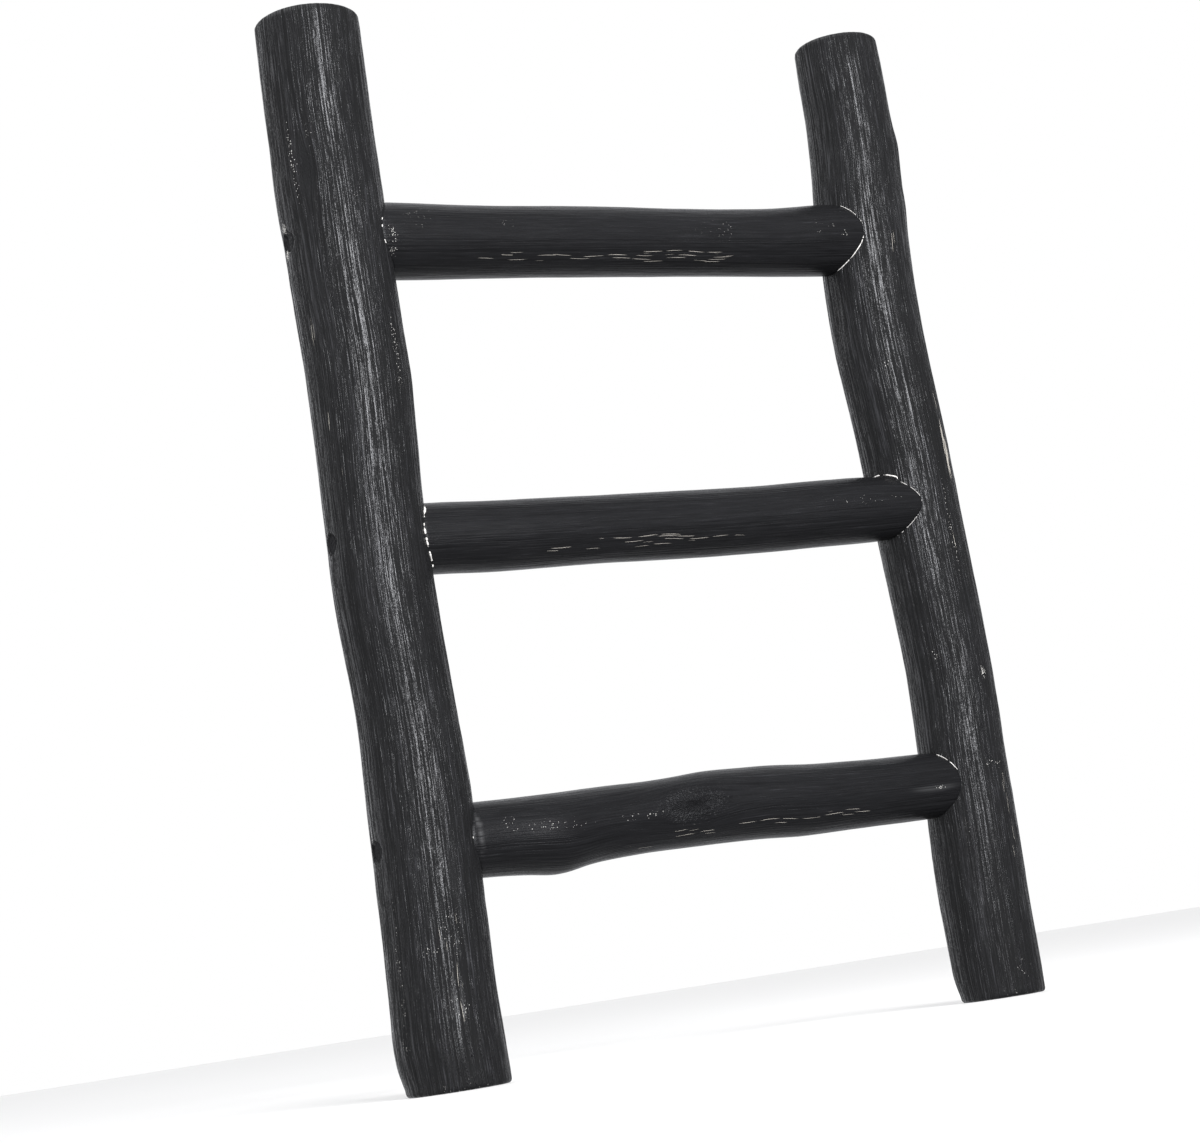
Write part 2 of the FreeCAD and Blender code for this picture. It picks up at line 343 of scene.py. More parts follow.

# Where pale specks lie close together; on the bottom rung's dimple they are a painted highlight
CHIPS_AND_HIGHLIGHTS = {
    "rail_left": [
        Mark(0.855, -151, 26, 1.8, 0.5),
        Mark(0.868, -126, 12, 4, 0.3),
        Mark(0.815, -84, 9, 4, 0.25),
        Mark(0.797, 176, 3, 3, 1.7),
        Mark(0.772, 172, 3, 2, 1.7),
        Mark(0.232, 172, 6, 2, 0.8),
        Mark(0.665, -62, 24, 2.0, 0.5),
        Mark(0.122, -121, 4, 7, 0.4),
        Mark(0.11, -161, 40, 1.8, 0.4),
        Mark(0.046, -165, 6, 1.5, 0.6),
        Mark(0.14, -97, 18, 8, 0.3),
        Mark(0.072, -98, 9, 6, 0.35),
        Mark(0.003, -105, 4, 16, 0.3),
    ],
    "rail_right": [
        Mark(0.47, -82, 32, 1.5, 0.5),
        Mark(0.643, -123, 9, 2.5, 0.4),
        Mark(0.171, -129, 12, 5, 0.25),
        Mark(0.228, -82, 3, 7, 0.5),
        Mark(0.344, -141, 4, 2, 0.6),
        Mark(0.32, -76, 3.5, 2, 1.4),
        Mark(0.029, -90, 8, 6, 0.3),
        Mark(0.003, -95, 4, 16, 0.3),
    ],
    "rung_top": [
        Mark(0.073, -108, 3, 9, 0.6),
        Mark(0.87, -86, 14, 4, 0.28),
        Mark(0.906, -95, 3, 2.5, 0.6),
        Mark(0.665, -86, 16, 8, 0.23),
        Mark(0.13, -66, 14, 9, 0.23),
        Mark(0.28, -78, 6, 4, 0.3),
    ],
    "rung_middle": [Mark(0.86, -82, 30, 3.5, 0.27)],
    "rung_bottom": [
        Mark(0.19, -84, 26, 3.5, 0.34),
        Mark(0.12, -72, 6, 4, 0.34),
        Mark(0.355, -90, 20, 2.2, 0.4),
        # painted highlight: pale specks for the light caught on a dimple at the rung's right end
        Mark(0.897, -98, 3, 1.0, 1.2),
    ],
}

# Where the stain is rubbed grey; along the rails' top edges, a painted highlight
RUBS_AND_HIGHLIGHTS = {
    "rail_left": [
        Mark(0.073, -100, 6, 4, 0.25),
        # painted highlight: a thin grey band along the eased top edge, as if lit from above
        Mark(0.9973, -156, 0.8, 24, 0.45),
    ],
    "rail_right": [
        Mark(0.491, -113, 2.2, 1.6, 0.8),
        Mark(0.759, -114, 8, 1.5, 0.35),
        # painted highlight: a thin grey band along the eased top edge, as if lit from above
        Mark(0.9973, -156, 0.8, 24, 0.4),
    ],
    "rung_top": [],
    "rung_middle": [],
    "rung_bottom": [
        Mark(0.0725, -84, 1.3, 9, 0.6),
        Mark(0.885, -98, 12, 1.8, 0.3),
    ],
}

# Glue that shows: from and to an angle round the rung, in degrees from its top by the back, its
# thickness as a radius in mm, the share of it that is missing, and how far off the rung it lies in mm
Glue = namedtuple("Glue", "start end radius missing lift", defaults=[0])
GLUE = {
    ("left", "top"): [Glue(-135, -60, 0.3, 0.72)],
    ("left", "middle"): [Glue(-60, -35, 0.8, 0.2), Glue(-82, -60, 0.5, 0.6), Glue(-155, -82, 0.7, 0.25)],
    ("left", "bottom"): [Glue(-130, -80, 0.25, 0.75)],
    ("right", "top"): [Glue(-85, -35, 0.15, 0.35), Glue(-168, -100, 0.28, 0.12)],
    ("right", "middle"): [
        Glue(-38, 35, 0.42, 0.2, 1.8),
        Glue(-100, -38, 0.13, 0.5),
        Glue(-165, -100, 0.15, 0.5),
    ],
    ("right", "bottom"): [Glue(-78, -25, 0.24, 0.15), Glue(-95, -78, 0.2, 0.6)],
}

RAIL_NAMES = ["left", "right"]
RUNG_NAMES = ["top", "middle", "bottom"]

# Seeds of the random forms, and how far apart two pieces' seeds are
RAIL_SEED = 100
RUNG_SEED = 200
GLUE_SEED = 304
PLUG_SEED = 404
SEED_STEP = 10


def skin_tree(mesh):
    """A search tree over a mesh, for casting rays at it."""
    points = [vertex.co for vertex in mesh.vertices]
    faces = [tuple(face.vertices) for face in mesh.polygons]
    return BVHTree.FromPolygons(points, faces)


def turns_round(count):
    """Even turns round a log, a plug or a line."""
    return np.arange(count) * FULL_TURN / count


def fitted_circle(points):
    """The centre and radius of the circle through most of the points."""
    kept = points
    for _ in range(FIT_ROUNDS):
        matrix = np.column_stack([2 * kept, np.ones(len(kept))])
        solution = np.linalg.lstsq(matrix, (kept ** 2).sum(axis=1), rcond=None)[0]
        radius = math.sqrt(solution[2] + solution[0] ** 2 + solution[1] ** 2)
        misses = np.abs(np.hypot(points[:, 0] - solution[0], points[:, 1] - solution[1]) - radius)
        kept = points[np.argsort(misses)[: int(len(points) * FIT_KEPT_SHARE)]]
    return solution[0], solution[1], radius


def bell(distance_squared):
    """1 in the middle, falling to nothing a few units away."""
    return np.exp(-0.5 * distance_squared)


def smoothed(values):
    """Values along a log, evened out over the smoothing length."""
    reach = int(SMOOTHING_REACH * SMOOTHING / MEASURE_STEP)
    offsets = np.arange(-reach, reach + 1) * MEASURE_STEP / SMOOTHING
    weights = bell(offsets ** 2)
    padded = np.pad(values, reach, mode="reflect", reflect_type="odd")
    return np.convolve(padded, weights / weights.sum(), mode="valid")


class Log:
    """A round log of the frame: where its centre runs and how thick it is, from end to end."""

    def __init__(self, node, along, sideways):
        self.node = node
        self.along = along
        self.sideways = sideways
        self.low, self.high = (np.array(corner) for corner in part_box(node))
        self.start = float(self.low @ along)
        self.end = float(self.high @ along)
        self.middle = (self.low + self.high) / 2
        self.middle -= along * (self.middle @ along)
        self.measure()

    def measure(self):
        """Fits a circle to the frame's skin at even places, and adds the log's own bends."""
        tree = skin_tree(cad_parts[self.node].data)
        places = np.arange(self.start + MEASURE_STEP, self.end - MEASURE_STEP / 2, MEASURE_STEP)
        sections = np.array([self.section(tree, place) for place in places])
        full = sections[:, 2] > FULL_SECTION_SHARE * np.median(sections[:, 2])
        self.places = places
        self.form = [smoothed(np.interp(places, places[full], row[full])) for row in sections.T]
        sideways, _, radius = self.form
        shares = self.share(places)
        for bend in BENDS[self.node]:
            weight = bell(((shares - bend.place) / bend.reach) ** 2)
            sideways += bend.sideways * MM * weight
            radius += bend.swell * MM * weight
        self.radius = float(np.mean(radius))

    def section(self, tree, place):
        """The circle that fits the frame's skin at one place."""
        centre = self.middle + self.along * place
        points = []
        for outwards in self.outwards(turns_round(MEASURE_RAYS)):
            hit = tree.ray_cast(Vector(centre + outwards * MEASURE_REACH), Vector(-outwards))[0]
            if hit:
                offset = np.array(hit) - centre
                points.append((offset @ self.sideways, offset @ BACK))
        return fitted_circle(np.array(points))

    def outwards(self, turn):
        """Directions straight out of the log at turns round it."""
        return self.sideways * np.cos(turn)[..., None] + BACK * np.sin(turn)[..., None]

    def share(self, place):
        """A place as a share of the log's length."""
        return (place - self.start) / (self.end - self.start)

    def points(self, place, turn, rise, radius_share=1.0):
        """Points of the skin at places along and turns round the log, raised by rise."""
        sideways, back, radius = (np.interp(place, self.places, row) for row in self.form)
        reach = (radius + rise) * radius_share
        return (
            self.middle
            + self.along * place[..., None]
            + self.sideways * (sideways + reach * np.cos(turn))[..., None]
            + BACK * (back + reach * np.sin(turn))[..., None]
        )


def smooth_step(part):
    """A part from 0 to 1 that sets off and arrives gently."""
    return part * part * (3 - 2 * part)


def smooth_noise(rows, columns, row_cells, column_cells, seed):
    """Smooth random values from -1 to 1; rows and columns run from 0 to 1, and columns close up."""
    table = np.random.default_rng(seed).uniform(-1, 1, (row_cells + 2, column_cells))
    row, row_part = np.divmod(np.clip(rows, 0, 1) * row_cells, 1)
    column, column_part = np.divmod(columns * column_cells, 1)
    row = row.astype(int)
    column = column.astype(int) % column_cells
    after = (column + 1) % column_cells
    row_part = smooth_step(row_part)
    column_part = smooth_step(column_part)
    near = table[row, column] * (1 - column_part) + table[row, after] * column_part
    far = table[row + 1, column] * (1 - column_part) + table[row + 1, after] * column_part
    return near * (1 - row_part) + far * row_part


def turn_between(turn, angle):
    """How far a turn lies from an angle, the short way round."""
    return (turn - angle + math.pi) % FULL_TURN - math.pi


def mark_offsets(log, place, turn, mark):
    """How far points lie from a mark's middle, along and across the log, over its half sizes."""
    middle = log.start + mark.place * (log.end - log.start)
    along = (place - middle) / (mark.half_length * MM)
    across = turn_between(turn, mark.angle * DEGREE) * log.radius / (mark.half_width * MM)
    return along, across


def mark_weight(log, place, turn, mark, sharpness=1):
    """1 in a mark's middle, falling to nothing outside it; a sharper one falls off at its edge."""
    along, across = mark_offsets(log, place, turn, mark)
    return bell((along ** 2 + across ** 2) ** sharpness)


def relief(log, place, turn, layers, seed):
    """How far the skin rises or sinks: lumps, fibres, swellings and knots."""
    rows = log.share(place)
    columns = (turn / FULL_TURN) % 1
    rise = np.zeros(np.broadcast(place, turn).shape)
    for number, (row_cells, column_cells, height) in enumerate(layers):
        rise += height * smooth_noise(rows, columns, row_cells, column_cells, seed + number)
    for mark in SWELLINGS[log.node]:
        rise += mark.amount * MM * mark_weight(log, place, turn, mark)
    for mark in KNOTS[log.node]:
        rise += mark.amount * MM * mark_weight(log, place, turn, mark, FIELD_SHARPNESS)
    return rise


def mark_fields(log, place, turn):
    """How much the stain is scratched, chipped and rubbed at each point, and where highlights are
    painted.
    """
    fields = {}
    for name, table in (("scratch", SCRATCHES), ("chip_and_highlight", CHIPS_AND_HIGHLIGHTS), ("rub_and_highlight", RUBS_AND_HIGHLIGHTS)):
        fields[name] = np.zeros(place.shape)
        for mark in table[log.node]:
            amount = mark.amount * mark_weight(log, place, turn, mark, FIELD_SHARPNESS)
            fields[name] = np.maximum(fields[name], amount)
    return fields


def skin_fields(log, place, turn, radius_share):
    """What the material reads at each point: marks, knots and the wrinkles that burst from them, its
    place in the grain and on the track that scratches follow, and whether it is on a sawn end."""
    shape = np.broadcast(place, turn).shape
    place = np.broadcast_to(place, shape)
    turn = np.broadcast_to(turn, shape)
    fields = mark_fields(log, place, turn)
    fields["knot"] = np.zeros(shape)
    fields["burst"] = np.zeros((*shape, 3))
    bent_turn = turn.copy()
    for knot in KNOTS[log.node]:
        along, across = mark_offsets(log, place, turn, knot)
        covered = mark_weight(log, place, turn, knot, FIELD_SHARPNESS)
        distance = np.hypot(along, across) + BURST_MIDDLE
        burst = np.stack([along / distance, across / distance, distance], axis=-1)
        nearest = covered > fields["knot"]
        fields["burst"][nearest] = burst[nearest]
        fields["knot"] = np.maximum(fields["knot"], covered)
        swing = GRAIN_BEND * turn_between(turn, knot.angle * DEGREE)
        bent_turn -= swing * mark_weight(log, place, turn, knot)
    reach = log.radius * radius_share
    fields["grain"] = np.stack([reach * np.cos(bent_turn), reach * np.sin(bent_turn), place], axis=-1)
    sway = SCRATCH_SWAY * np.sin(place / SCRATCH_SWAY_LENGTH)
    round_log = log.radius * turn_between(turn, FRONT) + sway
    fields["track"] = np.stack([round_log, place, np.zeros(shape)], axis=-1)
    fields["cut"] = np.broadcast_to(np.where(np.less(radius_share, 1), 1.0, 0.0), shape)
    return fields


def closed_mesh(name, rings, flipped=False):
    """A closed mesh through rings of points, with one more point to close each end."""
    count, around = rings.shape[:2]
    index = np.arange(count * around).reshape(count, around)
    after = np.roll(index, -1, axis=1)
    quads = np.stack([index[:-1], after[:-1], after[1:], index[1:]], axis=-1).reshape(-1, 4)
    start_fan = np.stack([after[0], index[0], np.full(around, index.size)], axis=-1)
    end_fan = np.stack([index[-1], after[-1], np.full(around, index.size + 1)], axis=-1)
    faces = quads.tolist() + start_fan.tolist() + end_fan.tolist()
    if flipped:
        faces = [face[::-1] for face in faces]
    ends = [rings[0].mean(axis=0), rings[-1].mean(axis=0)]
    mesh = bpy.data.meshes.new(name)
    mesh.from_pydata(np.concatenate([rings.reshape(-1, 3), ends]).tolist(), [], faces)
    mesh.shade_smooth()
    return mesh


def add_fields(mesh, fields):
    """Stores what the material reads, with the mean of the end ring at each closing point."""
    for name, values in fields.items():
        ends = np.array([values[0].mean(axis=0), values[-1].mean(axis=0)])
        flat = np.concatenate([values.reshape(-1, *values.shape[2:]), ends])
        kind, key = ("FLOAT_VECTOR", "vector") if values.ndim == 3 else ("FLOAT", "value")
        attribute = mesh.attributes.new(name, kind, "POINT")
        attribute.data.foreach_set(key, flat.astype(np.float32).ravel())


def add_piece(name, mesh, material, node=None):
    """Puts a mesh in the scene as a piece of the ladder."""
    mesh.materials.append(material)
    piece = bpy.data.objects.new(name, mesh)
    bpy.context.scene.collection.objects.link(piece)
    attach(piece, "root")
    if node:
        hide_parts(node)
    return piece


def eased(distance, easing):
    """How much smaller a sawn edge's radius is, at a distance from the end face."""
    inside = np.clip(easing - distance, 0, easing)
    return easing - np.sqrt(easing ** 2 - inside ** 2)


def rail_rings(log, plug_heights):
    """Places and radius shares of a rail's rings: its foot, its side, finer at plugs, and its top."""
    side = np.arange(log.start + FOOT_EASING, log.end - TOP_EASING, RING_STEP)
    for height in plug_heights:
        fine = np.arange(height - FINE_REACH, height + FINE_REACH, FINE_RING_STEP)
        side = np.concatenate([side[np.abs(side - height) > FINE_REACH], fine])
    steps = np.arange(EASING_RINGS) / EASING_RINGS
    foot = log.start + FOOT_EASING * steps ** 2
    top = log.end - TOP_EASING * steps[::-1] ** 2
    side = np.concatenate([foot, np.sort(side), top])
    shares = (np.arange(CAP_RINGS) + 0.5) / CAP_RINGS
    places = np.concatenate([np.full(CAP_RINGS, log.start), side, np.full(CAP_RINGS, log.end)])
    radius_shares = np.concatenate([shares, np.ones(len(side)), shares[::-1]])
    return places[:, None], radius_shares[:, None]


def pocket(log, place, turn, plug_height, plug_angle):
    """How deep a plug's pocket is at points of a rail's skin."""
    swing = turn_between(turn, plug_angle)
    distance = np.hypot(place - plug_height, np.sin(swing) * log.radius)
    depth = np.clip((POCKET_RADIUS + POCKET_EDGE - distance) / (2 * POCKET_EDGE), 0, 1)
    return np.where(np.cos(swing) > 0, depth, 0) * POCKET_DEPTH


def rail_skin(log, side, material, seed):
    """A rail's skin, sawn at both ends, with a pocket for each plug in its outer side."""
    plug_angle = math.pi if side == "left" else 0.0
    boxes = [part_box("plug_" + side + "_" + rung) for rung in RUNG_NAMES]
    heights = [(low[2] + high[2]) / 2 for low, high in boxes]
    place, radius_share = rail_rings(log, heights)
    turn = turns_round(RAIL_POINTS_AROUND)[None, :]
    rise = relief(log, place, turn, RAIL_RELIEF, seed)
    rise -= eased(place - log.start, FOOT_EASING) + eased(log.end - place, TOP_EASING)
    for height in heights:
        rise -= pocket(log, place, turn, height, plug_angle)
    dents = CAP_RELIEF * (1 + smooth_noise(radius_share, turn / FULL_TURN, *CAP_CELLS, seed)) / 2
    inwards = np.where(log.share(place) < 0.5, 1.0, -1.0)
    dented = place + np.where(radius_share < 1, inwards * dents, 0)
    rings = np.clip(log.points(dented, turn, rise, radius_share), log.low, log.high)
    mesh = closed_mesh("rail_" + side + "_skin", rings)
    add_fields(mesh, skin_fields(log, place, turn, radius_share))
    return add_piece("rail_" + side + "_skin", mesh, material, log.node)


def seam_places(log, tree, turn, towards, rise=0.0):
    """Where lines along a rung, raised by rise, meet the skin of the rail they go towards."""
    end = log.start if towards < 0 else log.end
    places = []
    for line in log.points(np.full(len(turn), SEAT_SHARE * end), turn, rise):
        origin = Vector((SEAM_SEARCH_SHARE * end, line[1], line[2]))
        hit = tree.ray_cast(origin, Vector(log.along * towards))[0]
        places.append(hit[0])
    return np.array(places)


def rung_places(left, right):
    """Places of a rung's rings on each line round it: along the seams, and even in the middle."""
    half = (right.min() - left.max()) / 2
    middle = (left.mean() + right.mean()) / 2
    even = np.arange(SEAM_STEPS[-1] + RING_STEP / 2, half, RING_STEP)
    steps = np.concatenate([SEAM_STEPS, even])[:, None]
    blend = np.clip(steps / half, 0, 1) ** 2
    from_left = (left + steps) * (1 - blend) + (middle - half + steps) * blend
    from_right = (right - steps) * (1 - blend) + (middle + half - steps) * blend
    return np.concatenate([from_left, from_right[::-1]])


def rung_skin(log, name, trees, material, seed):
    """A rung's skin, whose ends follow the rails' skins, with a tenon inside each rail."""
    turn = turns_round(RUNG_POINTS_AROUND)
    left = seam_places(log, trees["left"], turn, -1)
    right = seam_places(log, trees["right"], turn, 1)
    place = rung_places(left, right)
    rise = relief(log, place, turn[None, :], RUNG_RELIEF, seed)
    from_seam = np.minimum(place - left, right - place)
    rise -= SEAM_EASING * np.clip(1 - from_seam / SEAM_EASING_LENGTH, 0, 1) ** 2
    tenon_rise = TENON_RADIUS - log.radius
    left_tenon = np.array([[log.start], [left.mean() - SHOULDER_BURY]])
    right_tenon = np.array([[right.mean() + SHOULDER_BURY], [log.end]])
    rings = np.concatenate([
        log.points(left_tenon, turn[None, :], tenon_rise),
        log.points(place, turn[None, :], rise),
        log.points(right_tenon, turn[None, :], tenon_rise),
    ])
    fields = skin_fields(log, place, turn[None, :], 1.0)
    for key, values in fields.items():
        fields[key] = np.concatenate([values[:1], values[:1], values, values[-1:], values[-1:]])
    mesh = closed_mesh("rung_" + name + "_skin", rings, flipped=True)
    add_fields(mesh, fields)
    return add_piece("rung_" + name + "_skin", mesh, material, log.node)


def glue_form(turn, stretches, seed):
    """How thick the glue is at turns round a rung, nothing where it is missing, and its lift."""
    columns = turn / FULL_TURN
    rows = np.zeros(len(turn))
    breaks = smooth_noise(rows, columns, 1, GLUE_BREAK_CELLS, seed)
    lumps = smooth_noise(rows, columns, 1, GLUE_LUMP_CELLS, seed + 1)
    radius = np.zeros(len(turn))
    lift = np.zeros(len(turn))
    for stretch in stretches:
        half = (stretch.end - stretch.start) * DEGREE / 2
        middle = (stretch.end + stretch.start) * DEGREE / 2
        within = np.clip((half - np.abs(turn_between(turn, middle))) / GLUE_FADE, 0, 1)
        unbroken = (1 - stretch.missing) * 2 - 1 + breaks + GLUE_LUMP_SHARE * lumps
        shown = within * np.clip(unbroken * GLUE_BREAK_SHARPNESS, 0, 1)
        radius = np.maximum(radius, stretch.radius * MM * shown)
        lift = np.maximum(lift, stretch.lift * MM * within)
    return radius * (1 + GLUE_LUMP_SHARE * lumps), lift


def glue_line(log, tree, side, name, material, seed):
    """A thin broken line of dried glue along the seam of a rung and a rail."""
    towards = -1 if side == "left" else 1
    turn = turns_round(GLUE_POINTS)
    radius, lift = glue_form(turn, GLUE[side, name], seed)
    centres = log.points(seam_places(log, tree, turn, towards, lift), turn, lift)
    away = log.outwards(turn) - log.along * towards
    away /= np.linalg.norm(away, axis=1)[:, None]
    tangent = np.roll(centres, -1, axis=0) - np.roll(centres, 1, axis=0)
    across = np.cross(tangent, away)
    across /= np.linalg.norm(across, axis=1)[:, None]
    sunk = np.clip(1 - radius / GLUE_LEAST_RADIUS, 0, 1)
    centres -= away * (GLUE_SINK * sunk)[:, None]
    radius = np.maximum(radius, GLUE_LEAST_RADIUS)[:, None]
    sides = turns_round(GLUE_SIDES)
    rings = (
        centres[:, None, :]
        + away[:, None, :] * (radius * np.cos(sides))[..., None]
        + across[:, None, :] * (radius * np.sin(sides))[..., None]
    )
    index = np.arange(GLUE_POINTS * GLUE_SIDES).reshape(GLUE_POINTS, GLUE_SIDES)
    ahead = np.roll(index, -1, axis=0)
    quads = np.stack([index, ahead, np.roll(ahead, -1, axis=1), np.roll(index, -1, axis=1)], axis=-1)
    mesh = bpy.data.meshes.new("glue_" + side + "_" + name)
    mesh.from_pydata(rings.reshape(-1, 3).tolist(), [], quads.reshape(-1, 4).tolist())
    mesh.shade_smooth()
    return add_piece("glue_" + side + "_" + name, mesh, material)


def plug_rows(outer, inner, radius):
    """Places and radius shares of a plug's rings, from its inner end to the middle of its face."""
    inwards = np.sign(inner - outer)
    flat = 1 - PLUG_EASING / radius
    rows = [(inner, PLUG_INNER_SHARE), (inner, flat), (inner - inwards * PLUG_EASING, 1.0)]
    for step in range(EASING_RINGS + 1):
        swing = step / EASING_RINGS * FULL_TURN / 4
        place = outer + inwards * PLUG_EASING * (1 - math.sin(swing))
        rows.append((place, flat + (1 - flat) * math.cos(swing)))
    for step in range(1, PLUG_FACE_RINGS):
        rows.append((outer, flat * (1 - step / PLUG_FACE_RINGS)))
    return np.array(rows)


def plug_piece(side, name, material, seed):
    """A plug with a worn end-grain face and an eased edge."""
    node = "plug_" + side + "_" + name
    low, high = (np.array(corner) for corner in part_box(node))
    outer, inner = (low[0], high[0]) if side == "left" else (high[0], low[0])
    middle = (low + high) / 2
    radius = (high[2] - low[2]) / 2
    place, reach = (column[:, None] for column in plug_rows(outer, inner, radius).T)
    turn = turns_round(PLUG_POINTS_AROUND)[None, :]
    rough = PLUG_RELIEF * (1 + smooth_noise(reach, turn / FULL_TURN, *PLUG_CELLS, seed)) / 2
    on_face = np.abs(place - outer) < PLUG_EASING
    rings = np.stack([
        place + np.where(on_face, np.sign(inner - outer) * rough, 0),
        middle[1] + radius * reach * np.cos(turn),
        middle[2] + radius * reach * np.sin(turn),
    ], axis=-1)
    mesh = closed_mesh(node + "_wood", rings, flipped=side == "left")
    return add_piece(node + "_wood", mesh, material, node)


def shader(name):
    """A new material with its node tree and its main shader."""
    material = bpy.data.materials.new(name)
    material.use_nodes = True
    tree = material.node_tree
    return material, tree, tree.nodes["Principled BSDF"]


def feed(tree, socket, value):
    """Links an input to another node's output, or sets it to a number, a vector or a colour."""
    if isinstance(value, bpy.types.NodeSocket):
        tree.links.new(value, socket)
    else:
        socket.default_value = value


def add_node(tree, kind, inputs=None, **settings):
    """A shader node with its settings and what goes into its inputs."""
    node = tree.nodes.new(kind)
    for key, value in settings.items():
        setattr(node, key, value)
    for key, value in (inputs or {}).items():
        feed(tree, node.inputs[key], value)
    return node


def field(tree, name, output="Fac"):
    """A value stored on the skin."""
    return add_node(tree, "ShaderNodeAttribute", attribute_name=name).outputs[output]


def stretched(tree, place, scale):
    """A place in cells, by a scale for each direction."""
    return add_node(tree, "ShaderNodeMapping", {"Vector": place, "Scale": scale}).outputs["Vector"]


def noise_at(tree, place, scale, detail=NOISE_DETAIL):
    """Noise stretched by a scale for each direction."""
    inputs = {
        "Vector": stretched(tree, place, scale),
        "Scale": 1.0,
        "Detail": detail,
        "Roughness": NOISE_ROUGHNESS,
    }
    return add_node(tree, "ShaderNodeTexNoise", inputs).outputs["Fac"]


def ramp(tree, factor, stops):
    """A colour ramp; a stop is a place and a grey or a colour."""
    node = add_node(tree, "ShaderNodeValToRGB", {"Fac": factor})
    elements = node.color_ramp.elements
    while len(elements) < len(stops):
        elements.new(1.0)
    for element, (place, colour) in zip(elements, stops):
        element.position = place
        element.color = (*colour, 1) if isinstance(colour, tuple) else (colour, colour, colour, 1)
    return node.outputs["Color"]


def maths(tree, operation, first, second):
    """A sum, product or difference; each side is a socket or a number."""
    inputs = {0: first, 1: second}
    return add_node(tree, "ShaderNodeMath", inputs, operation=operation).outputs["Value"]


def vector_maths(tree, operation, first, second=(0, 0, 0)):
    """A difference, product, dot product or length; each side is a socket or a vector."""
    node = add_node(tree, "ShaderNodeVectorMath", {0: first, 1: second}, operation=operation)
    return node.outputs["Value" if operation in ("DOT_PRODUCT", "LENGTH") else "Vector"]


def blended(tree, parts):
    """The sum of sockets, each times its share."""
    total = 0.0
    for socket, share in parts:
        total = maths(tree, "ADD", total, maths(tree, "MULTIPLY", socket, share))
    return total


def mixed(tree, factor, first, second):
    """A mix of two colours, each a socket or a colour."""
    node = add_node(tree, "ShaderNodeMix", {"Factor": factor}, data_type="RGBA")
    for key, value in (("A", first), ("B", second)):
        socket = [one for one in node.inputs if one.name == key and one.type == "RGBA"][0]
        feed(tree, socket, (*value, 1) if isinstance(value, tuple) else value)
    return [one for one in node.outputs if one.type == "RGBA"][0]


def add_bump(tree, surface, height, strength, distance):
    """Makes a surface rise and fall with a height from 0 to 1."""
    inputs = {"Height": height, "Strength": strength, "Distance": distance}
    bump = add_node(tree, "ShaderNodeBump", inputs)
    tree.links.new(bump.outputs["Normal"], surface.inputs["Normal"])


def spots(tree, place, scale, thinness, amount, space):
    """Separate spots in stretched cells, more of them and larger ones where the amount is higher."""
    spread = stretched(tree, place, scale)
    inputs = {"Vector": spread, "Scale": 1.0}
    cells = add_node(tree, "ShaderNodeTexVoronoi", inputs, voronoi_dimensions=space)
    offset = vector_maths(tree, "SUBTRACT", spread, cells.outputs["Position"])
    distance = vector_maths(tree, "LENGTH", vector_maths(tree, "MULTIPLY", offset, thinness))
    chance = add_node(tree, "ShaderNodeSeparateColor", {"Color": cells.outputs["Color"]}).outputs["Red"]
    growth = maths(tree, "MULTIPLY", maths(tree, "SUBTRACT", amount, chance), SPOT_GROWTH)
    size = maths(tree, "MINIMUM", growth, maths(tree, "MAXIMUM", amount, 1.0))
    radius = maths(tree, "MULTIPLY", size, SPOT_RADIUS)
    depth = maths(tree, "SUBTRACT", radius, distance)
    shown = maths(tree, "MAXIMUM", maths(tree, "MULTIPLY", depth, SPOT_SHARPNESS), 0.0)
    return maths(tree, "MINIMUM", shown, SPOT_STRENGTH)


def stained(stops):
    """The stops of a ramp of greys, with the stain's tint."""
    return [(place, tuple(grey * part for part in STAIN_TINT)) for place, grey in stops]


def log_colour(tree, finish, grain, threads, fine):
    """Black stain over the grain, with rubbed patches, scratches, pale specks, painted highlights and
    sawn ends.
    """
    broad = noise_at(tree, grain, BROAD_GRAIN)
    tone = blended(tree, zip((threads, fine, broad), TONE_SHARES))
    colour = ramp(tree, tone, stained(finish["tones"]))
    knot = maths(tree, "MULTIPLY", field(tree, "knot"), finish["knot_darkness"])
    colour = mixed(tree, knot, colour, KNOT_COLOUR)
    # the rub field also holds the painted highlights along the rails' top edges
    rub_and_highlight_amount = maths(tree, "MULTIPLY", field(tree, "rub_and_highlight"), ramp(tree, threads, RIDGE_STOPS))
    colour = mixed(tree, rub_and_highlight_amount, colour, RUB_AND_HIGHLIGHT_COLOUR)
    rings = add_node(tree, "ShaderNodeTexWave", {"Vector": grain, **END_RINGS}, **END_RINGS_KIND)
    sawn = ramp(tree, rings.outputs["Fac"], stained(END_TONES))
    colour = mixed(tree, field(tree, "cut"), colour, sawn)
    track = field(tree, "track", "Vector")
    scratches = spots(tree, track, SCRATCH_GRAIN, SCRATCH_THINNESS, field(tree, "scratch"), "2D")
    colour = mixed(tree, scratches, colour, SCRATCH_COLOUR)
    patch_stops = [(PATCH_START, 0.0), (PATCH_FULL, finish["specks"])]
    patch = ramp(tree, noise_at(tree, grain, PATCH_GRAIN), patch_stops)
    # the chip field also holds the painted highlight on the bottom rung's dimple
    chip_and_highlight_amount = maths(tree, "MAXIMUM", patch, field(tree, "chip_and_highlight"))
    speck_and_highlight_spots = spots(tree, grain, SPECK_GRAIN, CHIP_THINNESS, chip_and_highlight_amount, "3D")
    return mixed(tree, speck_and_highlight_spots, colour, CHIP_AND_HIGHLIGHT_COLOUR)


